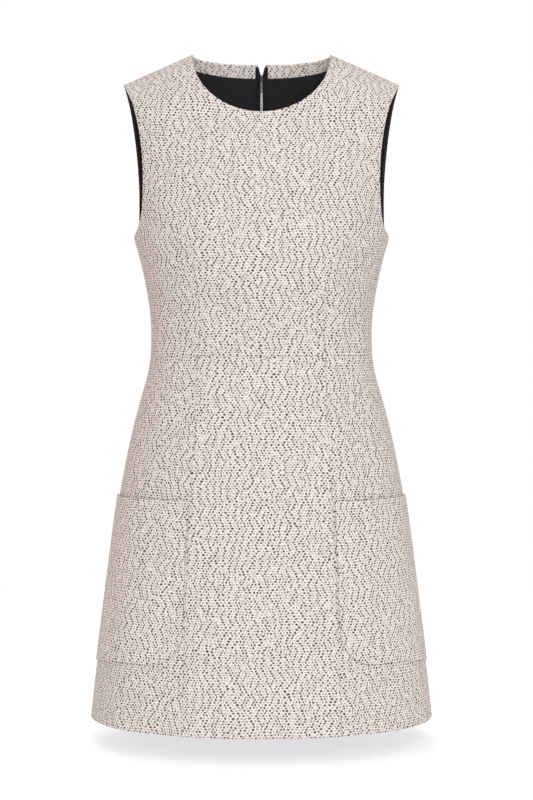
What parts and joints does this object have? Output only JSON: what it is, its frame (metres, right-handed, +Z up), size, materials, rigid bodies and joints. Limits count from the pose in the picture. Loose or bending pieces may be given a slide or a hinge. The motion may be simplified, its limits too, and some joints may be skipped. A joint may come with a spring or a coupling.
{
  "type": "a-line dress",
  "caption": "Sleeveless round-neck a-line mini dress in cream tweed, hollow worn form, with princess seams, a waist seam, patch pockets and a back zip.",
  "frame": {"origin": "midway between the two shoulder seams, where the dress hangs on the shoulders, 0.019 m below the neck ends of those seams", "axes": "+Z up, the front faces -Y, +X towards the wearer's left"},
  "size_m": [0.4348, 0.32, 0.8423],
  "materials": {
    "tweed": "matt slubby tweed in cream and pale pink with dark flecks",
    "lining": "black satin with a soft sheen",
    "tape": "black woven zip tape",
    "zip_metal": "bright nickel plate"
  },
  "bodies": {
    "dress": {"bodice_front_centre": "tweed", "bodice_front_side_left": "tweed", "bodice_front_side_right": "tweed", "bodice_back_left": "tweed", "bodice_back_right": "tweed", "skirt_front_centre": "tweed", "skirt_front_side_left": "tweed", "skirt_front_side_right": "tweed", "skirt_back_left": "tweed", "skirt_back_right": "tweed", "pocket_left": "tweed", "pocket_right": "tweed", "neck_facing_front": "tweed", "neck_facing_back_left": "tweed", "neck_facing_back_right": "tweed", "lining_front": "lining", "lining_back_left": "lining", "lining_back_right": "lining", "zip_tape_left": "tape", "zip_tape_right": "tape", "zip_chain": "zip_metal", "zip_slider": "zip_metal"},
    "pull_tab": {"zip_pull": "zip_metal"}
  },
  "joints": [
    {"name": "pull_swing", "type": "hinge", "parent": "dress", "child": "pull_tab", "pos_m": [0, 0.06391, -0.00103], "axis": [1, 0, 0], "range_deg": [0, 160]}
  ]
}
